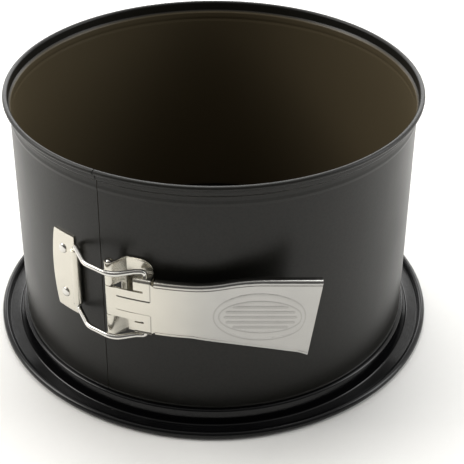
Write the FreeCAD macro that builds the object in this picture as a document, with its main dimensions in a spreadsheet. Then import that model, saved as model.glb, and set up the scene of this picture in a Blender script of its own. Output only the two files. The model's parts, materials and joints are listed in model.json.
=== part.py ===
import FreeCAD, Part
import math
import os

import Sketcher
from FreeCAD import Placement, Rotation, Vector

# Springform pan: a loose base plate, a sheet-steel ring that opens at a lapped seam, and an
# over-centre lever latch that pulls the ring shut.  Millimetres and degrees.
#
# Frame: +Z is up, the pan stands on Z = 0 and its axis is the Z axis.  Azimuths are counted
# from -Y, the side that carries the lever, and grow towards +X.
#
# The ring opens like a collar.  Its left half turns about the rim directly opposite the seam,
# which stands for the spring of the real, one-piece band.

SIZES = (
    # alias, value, meaning
    ("inside_diameter", 180.0, "clear width between the walls"),
    ("pan_height", 118.0, "floor to top of the rim"),
    ("band_gauge", 0.6, "sheet of the ring and of the base"),
    ("rim_bead", 2.3, "diameter of the rolled rim"),
    ("rim_step", 1.1, "how far the wall steps out under the rim"),
    ("rim_step_top", 113.6, "height where the step meets the upright band under the rim"),
    ("rim_step_foot", 112.2, "height where the step leaves the wall"),
    ("foot_bead", 1.8, "diameter of the rolled bottom edge"),
    ("bead_turn", 280.0, "how far round each rolled edge is curled"),
    ("seat_height", 7.0, "shoulder of the base that carries the ring"),
    ("seat_gap", 0.05, "air between the shoulder and the ring"),
    ("plateau_height", 11.0, "baking surface of the base"),
    ("plateau_clearance", 0.6, "air between the plateau and the inner end of the ring"),
    ("shoulder_width", 3.5, "shoulder, from the plateau outwards"),
    ("skirt_run", 2.2, "width of the slope below the shoulder"),
    ("lip_diameter", 206.0, "outside of the base plate"),
    ("lip_bead", 3.2, "diameter of the rolled lip of the base"),
    ("lip_lift", 0.4, "air below the rolled lip"),
    ("seam_azimuth", -30.2, "where the ring opens"),
    ("butt_gap", 0.2, "angle of the gap between the two halves of the ring"),
    ("lap_angle", 6.0, "how far the inner end runs on under the outer end"),
    ("lap_gap", 0.3, "air between the lapped ends"),
    ("lap_foot", 10.5, "lower edge of the lapped end"),
    ("lap_top", 109.0, "upper edge of the lapped end"),
    ("joggle_angle", 1.2, "width of the step that carries the lapped end"),
    ("latch_height", 62.7, "middle of the latch above the floor"),
    ("latch_gauge", 0.8, "sheet of the lever and its two brackets"),
    ("wire_diameter", 2.2, "bail wire"),
    ("pin_diameter", 2.2, "hinge pin"),
    ("pin_length", 37.4, "hinge pin"),
    ("running_gap", 0.05, "air all round a pin or wire in its eye"),
    ("pin_offset", 6.3, "hinge pin outside the wall"),
    ("pin_azimuth", -25.4, "hinge pin"),
    ("keeper_azimuth", -37.8, "eye of the keeper"),
    ("keeper_span", 8.6, "keeper plate, from its eye to its free edge"),
    ("keeper_height", 38.6, "keeper plate"),
    ("keeper_drop", 1.2, "how far the keeper plate sits below the middle of the latch"),
    ("keeper_eye_height", 26.8, "rolled eye of the keeper"),
    ("eye_turn", 285.0, "how far round each eye is rolled"),
    ("hinge_height", 36.6, "hinge plate"),
    ("hinge_leg_angle", 64.0, "slope of the leg that stands the hinge off the wall"),
    ("hinge_edge", 10.3, "free edge of the hinge plate, from the pin"),
    ("hinge_corner", 5.5, "rounded corners of the hinge plate"),
    ("knuckle_gap", 0.3, "air between the hinge knuckles and the lever tongue"),
    ("tongue_height", 14.0, "tongue of the lever, wrapped round the pin"),
    ("lever_reach", 42.8, "straight handle of the lever"),
    ("grip_top", 15.6, "upper edge of the handle, above the middle of the latch"),
    ("grip_foot", 19.9, "lower edge of the handle at its end, below the middle of the latch"),
    ("neck_half", 12.6, "half the height of the handle at its neck"),
    ("ear_half", 14.0, "half the height over the ears that carry the bail"),
    ("flare_start", -9.0, "where the handle starts to widen"),
    ("flare_end", 20.0, "where the handle has its full height"),
    ("end_slant", 4.9, "how much further the top corner of the handle reaches"),
    ("flange_depth", 3.0, "folded edges of the handle"),
    ("ear_depth", 5.6, "ears that carry the bail"),
    ("ear_left_azimuth", -18.9, "ears"),
    ("ear_right_azimuth", -14.2, "ears"),
    ("slit_height", 1.0, "slits between the tongue and the ears"),
    ("slit_reach", 4.0, "slits, measured into the web"),
    ("rib_height", 6.4, "stiffening rib pressed into the tongue"),
    ("rib_rise", 0.4, "stiffening rib"),
    ("rib_left_azimuth", -23.6, "stiffening rib"),
    ("rib_right_azimuth", -15.2, "stiffening rib"),
    ("bail_offset", 5.0, "bail pivot outside the wall"),
    ("bail_azimuth", -16.6, "bail pivot"),
    ("arm_half", 15.6, "each arm of the bail above or below the middle of the latch"),
    ("leg_half", 13.5, "half the straight leg of the bail inside the keeper"),
    ("arm_gap", 0.05, "air where an arm of the bail meets the leg"),
    ("arm_turn", 1.5, "bend of the arm into the ear"),
    ("stub_end", 12.0, "inner end of the bent stub in the ear"),
    ("arm_bend", 8.0, "bends along the arm"),
    ("rivet_shank", 3.0, "rivet"),
    ("rivet_head", 4.4, "rivet"),
    ("rivet_dome", 1.0, "height of a rivet head outside"),
    ("rivet_flat", 0.4, "height of a rivet head inside"),
    ("rivet_half", 11.1, "rivets above and below the middle of the latch"),
    ("rivet_play", 0.02, "air round a rivet shank"),
    ("keeper_rivet_azimuth", -43.2, "rivets of the keeper"),
    ("hinge_rivet_azimuth", -18.2, "rivets of the hinge plate"),
)

# Waypoints of each bail arm between the keeper eye and the ear: azimuth, distance outside the wall
ARM_ROUTE = ((-31.0, 9.4), (-23.4, 11.6), (-18.9, 6.2))

NUDGE = 0.01  # lets a cutting tool start just outside the sheet it cuts
REACH = 150.0  # longer than any piece, for tools that cut right through

doc = FreeCAD.newDocument("SpringformPan")
sheet = doc.addObject("Spreadsheet::Sheet", "Sizes")
for row, (alias, size, meaning) in enumerate(SIZES, start=1):
    sheet.set(f"A{row}", meaning)
    sheet.set(f"B{row}", str(size))
    sheet.setAlias(f"B{row}", alias)
doc.recompute()


# ---------------------------------------------------------------- formulas and numbers


def cell(alias):
    """The formula that reads one driving size."""
    return f"Sizes.{alias}"


def number(formula):
    """What a formula comes to now."""
    return float(sheet.evalExpression(str(formula)))


def polar(radius, azimuth):
    """Formulas for a point at a radius and azimuth."""
    return f"({radius}) * sin({azimuth})", f"0 - ({radius}) * cos({azimuth})"


def shifted(point, radius, heading):
    """Formulas for a point at a distance from another, on a heading counted from +X."""
    x, y = point
    return f"{x} + ({radius}) * cos({heading})", f"{y} + ({radius}) * sin({heading})"


WALL_IN = f"{cell('inside_diameter')} / 2"
WALL_OUT = f"({WALL_IN} + {cell('band_gauge')})"
EYE_IN = f"({cell('pin_diameter')} / 2 + {cell('running_gap')})"
EYE_OUT = f"({EYE_IN} + {cell('latch_gauge')})"
PIN_RADIUS = f"({WALL_OUT} + {cell('pin_offset')})"
WEB_OUT = f"({PIN_RADIUS} + {EYE_OUT})"
WEB_IN = f"({PIN_RADIUS} + {EYE_IN})"
PLATE_OUT = f"({WALL_OUT} + {cell('latch_gauge')})"
KEEPER_RADIUS = f"({PLATE_OUT} + {EYE_IN})"
BAIL_RADIUS = f"({WALL_OUT} + {cell('bail_offset')})"
ORIGIN = ("0", "0")


# ---------------------------------------------------------------- building blocks


def new_body(name):
    """An empty body, labelled with the name of the piece."""
    body = doc.addObject("PartDesign::Body", name)
    body.Label = name
    return body


def origin_feature(body, role):
    """One of the body's own origin planes or axes."""
    return next(item for item in body.Origin.OriginFeatures if item.Role == role)


def new_sketch(body, role, name):
    """A sketch lying on one of the body's origin planes."""
    sketch = body.newObject("Sketcher::SketchObject", name)
    sketch.AttachmentSupport = [(origin_feature(body, role), "")]
    sketch.MapMode = "FlatFace"
    return sketch


def bind(sketch, kind, places, name, formula):
    """A dimension of a sketch that follows a formula."""
    index = sketch.addConstraint(Sketcher.Constraint(kind, *places, number(formula)))
    sketch.renameConstraint(index, name)
    sketch.setExpression(f"Constraints.{name}", formula)


def arc_between(start, end, centre, counterclockwise):
    """The arc from one point to another about a centre."""
    first, last = (start, end) if counterclockwise else (end, start)
    angles = [math.atan2(p.y - centre.y, p.x - centre.x) for p in (first, last)]
    circle = Part.Circle(centre, Vector(0, 0, 1), first.distanceToPoint(centre))
    return Part.ArcOfCircle(circle, angles[0], angles[1])


def outline(body, role, name, corners, arcs=None):
    """A closed outline on a body's plane.

    corners are pairs of formulas.  arcs maps the number of a corner to the centre and the
    direction (+1 counterclockwise, -1 clockwise) of the arc from it to the next corner.
    """
    arcs = arcs or {}
    sketch = new_sketch(body, role, name)
    points = [Vector(number(x), number(y), 0) for x, y in corners]
    starts, ends = [], []
    for i, start in enumerate(points):
        end = points[(i + 1) % len(points)]
        if i in arcs:
            (cx, cy), turn = arcs[i]
            centre = Vector(number(cx), number(cy), 0)
            sketch.addGeometry(arc_between(start, end, centre, turn > 0), False)
            starts.append(1 if turn > 0 else 2)
            ends.append(2 if turn > 0 else 1)
        else:
            sketch.addGeometry(Part.LineSegment(start, end), False)
            starts.append(1)
            ends.append(2)
    for i in range(len(points)):
        after = (i + 1) % len(points)
        sketch.addConstraint(Sketcher.Constraint("Coincident", i, ends[i], after, starts[after]))
    for i, (x, y) in enumerate(corners):
        bind(sketch, "DistanceX", (i, starts[i]), f"x{i}", x)
        bind(sketch, "DistanceY", (i, starts[i]), f"y{i}", y)
    for i, ((cx, cy), turn) in arcs.items():
        x, y = corners[i]
        radius = f"sqrt(({x} - ({cx}))^2 + ({y} - ({cy}))^2)"
        bind(sketch, "Radius", (i,), f"r{i}", radius)
    return sketch


def pad(body, sketch, length):
    """A pad of the given total length, half of it on each side of the sketch."""
    feature = body.newObject("PartDesign::Pad", f"{body.Name}_pad")
    feature.Profile = sketch
    feature.SideType = "Symmetric"
    feature.setExpression("Length", length)
    sketch.Visibility = False
    return feature


def pocket_through(body, sketch):
    """A pocket that goes right through the body."""
    feature = body.newObject("PartDesign::Pocket", f"{sketch.Name}_cut")
    feature.Profile = sketch
    feature.SideType = "Symmetric"
    feature.Length = REACH * 2
    sketch.Visibility = False
    return feature


def revolve(body, sketch, angle):
    """The sketch turned about the pan's axis, from azimuth 90 onwards."""
    feature = body.newObject("PartDesign::Revolution", f"{body.Name}_turn")
    feature.Profile = sketch
    feature.ReferenceAxis = (origin_feature(body, "Z_Axis"), [""])
    feature.setExpression("Angle", str(angle))
    sketch.Visibility = False
    return feature


def turn_about_axis(item, formula):
    """Turns a piece about the pan's axis by a formula in degrees."""
    item.setExpression("Placement.Rotation.Angle", formula)


def lift_to_latch(item):
    """Sets a piece of the latch at the height of the latch."""
    item.setExpression("Placement.Base.z", cell("latch_height"))


def cylinder(name, radius, height, centre, z):
    """An upright cylinder with formulas for its size and the place of its foot."""
    item = doc.addObject("Part::Cylinder", name)
    item.setExpression("Radius", radius)
    item.setExpression("Height", height)
    item.setExpression("Placement.Base.x", centre[0])
    item.setExpression("Placement.Base.y", centre[1])
    item.setExpression("Placement.Base.z", z)
    return item


def combine(kind, name, first, second):
    """A Part boolean of two pieces: Cut, Fuse or Common."""
    item = doc.addObject(f"Part::{kind}", name)
    item.Base = first
    item.Tool = second
    item.Label = name
    return item


# ---------------------------------------------------------------- rolled sheet edges


def rolled_edge(radius, height, bead, outer_first):
    """Corners of a rolled edge, curled outwards from the top of an upright sheet.

    The sheet's inner face stands at the given radius and the curl's centre at the given height.
    The corners run from the sheet's inner face over the curl to its outer face.
    """
    roll = f"({bead} / 2)"
    core = f"({roll} - {cell('band_gauge')})"
    centre = (f"({radius} + {roll})", height)
    heading = f"(180 - {outer_first} * {cell('bead_turn')})"
    corners = [
        shifted(centre, roll, 180),
        shifted(centre, roll, heading),
        shifted(centre, core, heading),
        shifted(centre, core, 180),
    ]
    return corners, centre


# ---------------------------------------------------------------- base plate


def make_base_plate():
    """Raised plateau, shoulder for the ring, drip channel and rolled lip, in one sheet."""
    body = new_body("base_plate")
    gauge = cell("band_gauge")
    plateau = f"({WALL_IN} - {gauge} - {cell('lap_gap')} - {cell('plateau_clearance')})"
    shoulder = f"({plateau} + {cell('shoulder_width')})"
    skirt = f"({shoulder} + {cell('skirt_run')})"
    lip = f"({cell('lip_diameter')} / 2)"
    roll = f"({cell('lip_bead')} / 2)"
    lip_centre_height = f"({cell('lip_lift')} + {roll})"
    upright = f"({lip} - 2 * {roll})"
    top = cell("plateau_height")
    seat = cell("seat_height")
    curl, centre = rolled_edge(upright, lip_centre_height, cell("lip_bead"), 1)
    corners = [
        ("0", top),
        (plateau, top),
        (plateau, seat),
        (shoulder, seat),
        (skirt, gauge),
        (upright, gauge),
        curl[0],
        curl[1],
        curl[2],
        curl[3],
        (f"{upright} + {gauge}", "0"),
        (f"{skirt} - {gauge}", "0"),
        (f"{shoulder} - {gauge}", f"{seat} - {gauge}"),
        (f"{plateau} - {gauge}", f"{seat} - {gauge}"),
        (f"{plateau} - {gauge}", f"{top} - {gauge}"),
        ("0", f"{top} - {gauge}"),
    ]
    sketch = outline(body, "XZ_Plane", "base_section", corners, {6: (centre, -1), 8: (centre, 1)})
    revolve(body, sketch, 360)
    return body


# ---------------------------------------------------------------- ring


def ring_half(name):
    """Half of the ring: wall, rolled foot, step and rolled rim."""
    body = new_body(name)
    gauge = cell("band_gauge")
    foot = f"({cell('foot_bead')} / 2)"
    foot_height = f"({cell('seat_height')} + {cell('seat_gap')} + {foot})"
    rim = f"({cell('rim_bead')} / 2)"
    rim_height = f"({cell('pan_height')} - {rim})"
    step = cell("rim_step")
    rim_curl, rim_centre = rolled_edge(f"({WALL_IN} + {step})", rim_height, cell("rim_bead"), 1)
    foot_curl, foot_centre = rolled_edge(WALL_IN, foot_height, cell("foot_bead"), -1)
    corners = [
        foot_curl[1],
        foot_curl[0],
        (WALL_IN, cell("rim_step_foot")),
        (f"{WALL_IN} + {step}", cell("rim_step_top")),
        rim_curl[0],
        rim_curl[1],
        rim_curl[2],
        rim_curl[3],
        (f"{WALL_OUT} + {step}", cell("rim_step_top")),
        (WALL_OUT, cell("rim_step_foot")),
        foot_curl[3],
        foot_curl[2],
    ]
    arcs = {
        0: (foot_centre, -1),
        4: (rim_centre, -1),
        6: (rim_centre, 1),
        10: (foot_centre, 1),
    }
    sketch = outline(body, "XZ_Plane", f"{name}_section", corners, arcs)
    revolve(body, sketch, f"180 - {cell('butt_gap')}")
    return body


def lapped_end():
    """The inner end of the ring: a joggle and the tongue that lies under the outer end."""
    low, high = cell("lap_foot"), cell("lap_top")
    tongue_out = f"({WALL_IN} - {cell('lap_gap')})"
    tongue_in = f"({tongue_out} - {cell('band_gauge')})"
    tongue = new_body("lap_tongue")
    corners = [(tongue_in, low), (tongue_out, low), (tongue_out, high), (tongue_in, high)]
    sketch = outline(tongue, "XZ_Plane", "lap_tongue_section", corners)
    revolve(tongue, sketch, f"{cell('joggle_angle')} + {cell('lap_angle')}")
    joggle = new_body("lap_joggle")
    corners = [(tongue_in, low), (WALL_OUT, low), (WALL_OUT, high), (tongue_in, high)]
    sketch = outline(joggle, "XZ_Plane", "lap_joggle_section", corners)
    revolve(joggle, sketch, cell("joggle_angle"))
    end = combine("Fuse", "lapped_end", tongue, joggle)
    start = f"{cell('seam_azimuth')} - {cell('butt_gap')} / 2 - {cell('joggle_angle')}"
    turn_about_axis(end, f"{start} - 90")
    return end


def rivet_height(side, drop):
    """Formula of a rivet's height: side 1 is the upper one, and drop lowers the pair."""
    return f"{cell('latch_height')} - {drop} + {side} * {cell('rivet_half')}"


def rivet_holes(name, azimuth, drop="0"):
    """Two radial cylinders that drill the rivet holes of one bracket."""
    drills = []
    for label, side in (("upper", 1), ("lower", -1)):
        drill = doc.addObject("Part::Cylinder", f"{name}_{label}_drill")
        drill.setExpression("Radius", f"{cell('rivet_shank')} / 2 + {cell('rivet_play')}")
        drill.setExpression("Height", f"{WALL_OUT} + 20")
        # The cylinder's own axis is laid along -Y, then turned to the azimuth.
        spin = number(azimuth)
        drill.Placement = Placement(
            Vector(0, 0, 0), Rotation(Vector(0, 0, 1), spin).multiply(Rotation(Vector(1, 0, 0), 90))
        )
        drill.setExpression("Placement.Base.z", rivet_height(side, drop))
        drills.append(drill)
    return combine("Fuse", f"{name}_drills", *drills)


def make_ring_band_right():
    """The fixed half, with the outer end at the seam and the holes of the hinge plate."""
    half = ring_half("ring_band_right_sheet")
    start = f"{cell('seam_azimuth')} + {cell('butt_gap')} / 2"
    turn_about_axis(half, f"{start} - 90")
    drills = rivet_holes("hinge", cell("hinge_rivet_azimuth"))
    return combine("Cut", "ring_band_right", half, drills)


def make_ring_band_left():
    """The opening half, with the lapped end at the seam and the holes of the keeper."""
    half = ring_half("ring_band_left_sheet")
    start = f"{cell('seam_azimuth')} + 180 + {cell('butt_gap')} / 2"
    turn_about_axis(half, f"{start} - 90")
    whole = combine("Fuse", "ring_band_left_lapped", half, lapped_end())
    drills = rivet_holes("keeper", cell("keeper_rivet_azimuth"), cell("keeper_drop"))
    return combine("Cut", "ring_band_left", whole, drills)


# ---------------------------------------------------------------- rivets


def make_rivet(name, azimuth, side, drop):
    """A round-headed rivet: dome outside, flat closing head inside."""
    body = new_body(name)
    shank = f"({cell('rivet_shank')} / 2)"
    head = f"({cell('rivet_head')} / 2)"
    # The flat head closes on the hollow side of the wall, where its rim touches first.
    inside = f"sqrt(({WALL_IN})^2 - {head}^2)"
    outside = PLATE_OUT
    dome = cell("rivet_dome")
    # Spherical dome: its radius follows from the head's radius and height.
    ball = f"(({head}^2 + {dome}^2) / (2 * {dome}))"
    corners = [
        ("0", f"{inside} - {cell('rivet_flat')}"),
        (head, f"{inside} - {cell('rivet_flat')}"),
        (head, inside),
        (shank, inside),
        (shank, outside),
        (head, outside),
        ("0", f"{outside} + {dome}"),
    ]
    arcs = {5: (("0", f"{outside} + {dome} - {ball}"), 1)}
    sketch = outline(body, "XZ_Plane", f"{name}_section", corners, arcs)
    revolve(body, sketch, 360)
    spin = number(azimuth)
    body.Placement = Placement(
        Vector(0, 0, 0), Rotation(Vector(0, 0, 1), spin).multiply(Rotation(Vector(1, 0, 0), 90))
    )
    body.setExpression("Placement.Base.z", rivet_height(side, drop))
    return body


# ---------------------------------------------------------------- keeper plate


def make_keeper_plate():
    """Plate riveted to the left half, its free edge rolled into an eye for the bail."""
    body = new_body("keeper_plate")
    eye = ("0", f"0 - {KEEPER_RADIUS}")
    heading = f"(90 - {cell('eye_turn')})"
    corners = [
        polar(WALL_OUT, f"0 - {cell('keeper_span')}"),
        ("0", f"0 - {WALL_OUT}"),
        shifted(eye, EYE_OUT, f"(90 - {cell('eye_turn')})"),
        shifted(eye, EYE_IN, heading),
        ("0", f"0 - {PLATE_OUT}"),
        polar(PLATE_OUT, f"0 - {cell('keeper_span')}"),
    ]
    arcs = {0: (ORIGIN, 1), 1: (eye, -1), 3: (eye, 1), 4: (ORIGIN, -1)}
    sketch = outline(body, "XY_Plane", "keeper_section", corners, arcs)
    pad(body, sketch, cell("keeper_height"))
    # The eye is level with the latch, so it lies higher on the plate by the plate's drop.
    drop = cell("keeper_drop")
    for label, side in (("upper", 1), ("lower", -1)):
        notch = [
            (f"0 - {EYE_OUT} - 0.4", f"{side} * {cell('keeper_eye_height')} / 2 + {drop}"),
            (f"{EYE_OUT} + 1", f"{side} * {cell('keeper_eye_height')} / 2 + {drop}"),
            (f"{EYE_OUT} + 1", f"{side} * {cell('keeper_height')}"),
            (f"0 - {EYE_OUT} - 0.4", f"{side} * {cell('keeper_height')}"),
        ]
        pocket_through(body, outline(body, "XZ_Plane", f"keeper_notch_{label}", notch))
    turn_about_axis(body, cell("keeper_azimuth"))
    body.setExpression("Placement.Base.z", f"{cell('latch_height')} - {drop}")
    drills = rivet_holes("keeper_plate", cell("keeper_rivet_azimuth"), cell("keeper_drop"))
    return combine("Cut", "keeper_plate_drilled", body, drills)


# ---------------------------------------------------------------- hinge plate and pin


def make_hinge_plate():
    """Plate riveted to the right half, a leg that stands off, and two knuckles for the pin."""
    body = new_body("hinge_plate")
    lean = cell("hinge_leg_angle")
    pin = ("0", f"0 - {PIN_RADIUS}")

    def on_leg(offset, plate_radius):
        """Where the leg's face, an offset outside the pin, meets a face of the plate."""
        height = f"({PIN_RADIUS} * cos({lean}) + {offset})"
        along = f"(0 - sqrt({plate_radius}^2 - {height}^2))"
        x = f"({along} * cos({lean}) + {height} * sin({lean}))"
        y = f"({along} * sin({lean}) - {height} * cos({lean}))"
        return x, y

    outward = f"({lean} - 90)"
    end = f"({lean} - 90 - {cell('eye_turn')})"
    corners = [
        shifted(pin, EYE_OUT, outward),
        on_leg(EYE_OUT, PLATE_OUT),
        polar(PLATE_OUT, cell("hinge_edge")),
        polar(WALL_OUT, cell("hinge_edge")),
        on_leg(EYE_IN, WALL_OUT),
        shifted(pin, EYE_IN, outward),
        shifted(pin, EYE_IN, end),
        shifted(pin, EYE_OUT, end),
    ]
    arcs = {1: (ORIGIN, 1), 3: (ORIGIN, -1), 5: (pin, -1), 7: (pin, 1)}
    sketch = outline(body, "XY_Plane", "hinge_section", corners, arcs)
    pad(body, sketch, cell("hinge_height"))
    slot = f"({cell('tongue_height')} / 2 + {cell('knuckle_gap')})"
    reach = f"({EYE_OUT} + 2)"
    corners = [
        (f"0 - {reach}", f"0 - {slot}"),
        (reach, f"0 - {slot}"),
        (reach, slot),
        (f"0 - {reach}", slot),
    ]
    pocket_through(body, outline(body, "XZ_Plane", "knuckle_slot", corners))
    edge = f"({PLATE_OUT} * sin({cell('hinge_edge')}) + {NUDGE})"
    round_off = cell("hinge_corner")
    for label, side in (("upper", 1), ("lower", -1)):
        top = f"{side} * ({cell('hinge_height')} / 2 + {NUDGE})"
        low = f"{side} * ({cell('hinge_height')} / 2 + {NUDGE} - {round_off})"
        corners = [(edge, top), (f"{edge} - {round_off}", top), (edge, low)]
        arcs = {1: ((f"{edge} - {round_off}", low), -side)}
        pocket_through(body, outline(body, "XZ_Plane", f"hinge_corner_{label}", corners, arcs))
    turn_about_axis(body, cell("pin_azimuth"))
    lift_to_latch(body)
    drills = rivet_holes("hinge_plate", cell("hinge_rivet_azimuth"))
    return combine("Cut", "hinge_plate_drilled", body, drills)


def make_hinge_pin():
    """The pin through the two knuckles and the lever's tongue."""
    foot = f"{cell('latch_height')} - {cell('pin_length')} / 2"
    place = polar(PIN_RADIUS, cell("pin_azimuth"))
    return cylinder("hinge_pin", f"{cell('pin_diameter')} / 2", cell("pin_length"), place, foot)


# ---------------------------------------------------------------- lever


def make_lever():
    """The lever: tongue wrapped round the pin, two ears for the bail and a flared handle."""
    spin = cell("pin_azimuth")
    pin = polar(PIN_RADIUS, spin)
    outward = f"({spin} - 90)"
    end = f"({spin} - 90 - {cell('eye_turn')})"
    reach = cell("lever_reach")
    flange_in = f"({WEB_OUT} - {cell('flange_depth')})"
    ear_in = f"({WEB_OUT} - {cell('ear_depth')})"
    left, right = cell("ear_left_azimuth"), cell("ear_right_azimuth")

    # Seen from above: the sheet with its folded edges still solid.
    plan = new_body("lever_plan")
    corners = [
        shifted(pin, EYE_OUT, outward),
        ("0", f"0 - {WEB_OUT}"),
        (reach, f"0 - {WEB_OUT}"),
        (reach, f"0 - {flange_in}"),
        ("0", f"0 - {flange_in}"),
        polar(flange_in, right),
        polar(ear_in, right),
        polar(ear_in, left),
        polar(WEB_IN, left),
        shifted(pin, EYE_IN, outward),
        shifted(pin, EYE_IN, end),
        shifted(pin, EYE_OUT, end),
    ]
    arcs = {
        0: (ORIGIN, 1),
        4: (ORIGIN, -1),
        6: (ORIGIN, -1),
        8: (ORIGIN, -1),
        9: (pin, -1),
        11: (pin, 1),
    }
    pad(plan, outline(plan, "XY_Plane", "lever_plan_section", corners, arcs), "60")

    # Seen from the front: tongue, slits, ears and the flared handle.
    front = lever_front("lever_front", "0", spin, left, right, True)
    blank = combine("Common", "lever_blank", plan, front)

    # The hollow between the folded edges.
    room = new_body("lever_room")
    corners = [
        polar(WEB_IN, left),
        ("0", f"0 - {WEB_IN}"),
        (f"{reach} + 5", f"0 - {WEB_IN}"),
        (f"{reach} + 5", f"0 - {ear_in} + 20"),
        polar(f"({ear_in} - 20)", left),
    ]
    pad(room, outline(room, "XY_Plane", "lever_room_section", corners, {0: (ORIGIN, 1)}), "60")
    inset = lever_front("lever_inset", cell("latch_gauge"), spin, left, right, False)
    hollow = combine("Common", "lever_hollow", room, inset)
    folded = combine("Cut", "lever_folded", blank, hollow)

    # The stiffening rib on the tongue.
    rib = new_body("lever_rib")
    first, last = cell("rib_left_azimuth"), cell("rib_right_azimuth")
    crest = f"({WEB_OUT} + {cell('rib_rise')})"
    buried = f"({WEB_OUT} - {cell('latch_gauge')} / 2)"
    corners = [polar(crest, first), polar(crest, last), polar(buried, last), polar(buried, first)]
    arcs = {0: (ORIGIN, 1), 2: (ORIGIN, -1)}
    pad(rib, outline(rib, "XY_Plane", "lever_rib_section", corners, arcs), cell("rib_height"))
    ribbed = combine("Fuse", "lever_ribbed", folded, rib)

    eye = polar(BAIL_RADIUS, cell("bail_azimuth"))
    hole = cylinder(
        "bail_eye", f"{cell('wire_diameter')} / 2 + {cell('running_gap')}", "60", eye, "-30"
    )
    lever = combine("Cut", "lever", ribbed, hole)
    lift_to_latch(lever)
    return lever


def lever_front(name, inset, spin, left, right, with_tongue):
    """The lever's outline as seen from the front, padded along Y and drawn in by an inset."""
    body = new_body(name)
    top = f"({cell('grip_top')} - {inset})"
    foot = f"(0 - ({cell('grip_foot')} - {inset}))"
    neck = f"({cell('neck_half')} - {inset})"
    ear = f"({cell('ear_half')} - {inset})"
    tongue = f"({cell('tongue_height')} / 2)"
    slit = f"({tongue} + {cell('slit_height')})"
    start, finish = cell("flare_start"), cell("flare_end")
    run, rise = f"({finish} - ({start}))", f"({top} - {neck})"
    # Two equal arcs make the rise of the upper edge: this is their radius.
    sweep = f"(({run}^2 + {rise}^2) / (4 * {rise}))"
    middle = (f"({finish} + {start}) / 2", f"({top} + {neck}) / 2")
    ear_left = polar(WEB_OUT, left)[0]
    ear_right = polar(WEB_OUT, right)[0]
    tip = f"({cell('lever_reach')} + 1)" if not with_tongue else cell("lever_reach")
    slant = f"({tip} - {cell('end_slant')})"

    upper = [
        (ear_left, ear),
        (ear_right, ear),
        (ear_right, neck),
        (start, neck),
        middle,
        (finish, top),
        (tip, top),
    ]
    # The lower edge falls away in a straight line.
    lower = [
        (slant, foot),
        (start, f"0 - {neck}"),
        (ear_right, f"0 - {neck}"),
        (ear_right, f"0 - {ear}"),
        (ear_left, f"0 - {ear}"),
    ]
    corners = upper + lower
    arcs = {
        3: ((start, f"{neck} + {sweep}"), 1),
        4: ((finish, f"{top} - {sweep}"), -1),
    }
    if with_tongue:
        depth = f"{ear_left} + {cell('slit_reach')}"
        tip_left = f"{polar(WEB_OUT, spin)[0]} - {EYE_OUT} - 1"
        corners += [
            (ear_left, f"0 - {slit}"),
            (depth, f"0 - {slit}"),
            (depth, f"0 - {tongue}"),
            (tip_left, f"0 - {tongue}"),
            (tip_left, tongue),
            (depth, tongue),
            (depth, slit),
            (ear_left, slit),
        ]
    sketch = outline(body, "XZ_Plane", f"{name}_view", corners, arcs)
    pad(body, sketch, str(REACH * 2))
    return body


# ---------------------------------------------------------------- bail


def rounded_path(points, radii):
    """A wire through the points, with a tangent arc of the given radius at each inner one."""
    edges, here = [], points[0]
    for before, corner, after, radius in zip(points, points[1:], points[2:], radii):
        into, out = (before - corner).normalize(), (after - corner).normalize()
        half = into.getAngle(out) / 2
        setback = radius / math.tan(half)
        start, end = corner + into * setback, corner + out * setback
        centre_way = (into + out).normalize()
        crown = corner + centre_way * (radius / math.sin(half) - radius)
        edges.append(Part.LineSegment(here, start).toShape())
        edges.append(Part.Arc(start, crown, end).toShape())
        here = end
    edges.append(Part.LineSegment(here, points[-1]).toShape())
    return Part.Wire(edges)


def round_wire(path, diameter):
    """Round wire of the given diameter along a path."""
    first = path.OrderedEdges[0]
    direction = first.tangentAt(first.FirstParameter)
    circle = Part.makeCircle(diameter / 2, path.OrderedVertexes[0].Point, direction)
    return path.makePipeShell([Part.Wire([circle])], True, True)


def arm_points(side):
    """The corners of one bail arm, from the keeper eye to the ear of the lever."""

    def at(azimuth, radius, height):
        spin = math.radians(azimuth)
        z = side * height
        return Vector(radius * math.sin(spin), -radius * math.cos(spin), z)

    wall = number(WALL_OUT)
    arm = number(cell("arm_half"))
    keeper = (number(cell("keeper_azimuth")), number(KEEPER_RADIUS))
    ear = (number(cell("bail_azimuth")), number(BAIL_RADIUS))
    start = number(cell("leg_half")) + number(cell("arm_gap"))
    route = [at(azimuth, wall + offset, arm) for azimuth, offset in ARM_ROUTE]
    return (
        [at(*keeper, start), at(*keeper, arm)]
        + route
        + [at(*ear, arm), at(*ear, number(cell("stub_end")))]
    )


def make_bail_arm(name, side):
    """One arm of the bail: out of the keeper eye, past the hinge, into the lever's ear."""
    bend = number(cell("arm_bend"))
    out_of_eye = number(cell("arm_half")) - number(cell("leg_half")) - number(cell("arm_gap"))
    radii = [out_of_eye - NUDGE, bend, bend, bend / 2, number(cell("arm_turn"))]
    path = rounded_path(arm_points(side), radii)
    arm = doc.addObject("Part::Feature", name)
    arm.Shape = round_wire(path, number(cell("wire_diameter")))
    arm.Placement = Placement(Vector(0, 0, number(cell("latch_height"))), Rotation())
    return arm


def make_bail_leg():
    """The straight leg of the bail, held in the eye of the keeper."""
    foot = f"{cell('latch_height')} - {cell('leg_half')}"
    place = polar(KEEPER_RADIUS, cell("keeper_azimuth"))
    height = f"2 * {cell('leg_half')}"
    return cylinder("bail_leg", f"{cell('wire_diameter')} / 2", height, place, foot)


# ---------------------------------------------------------------- assembly


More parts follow.
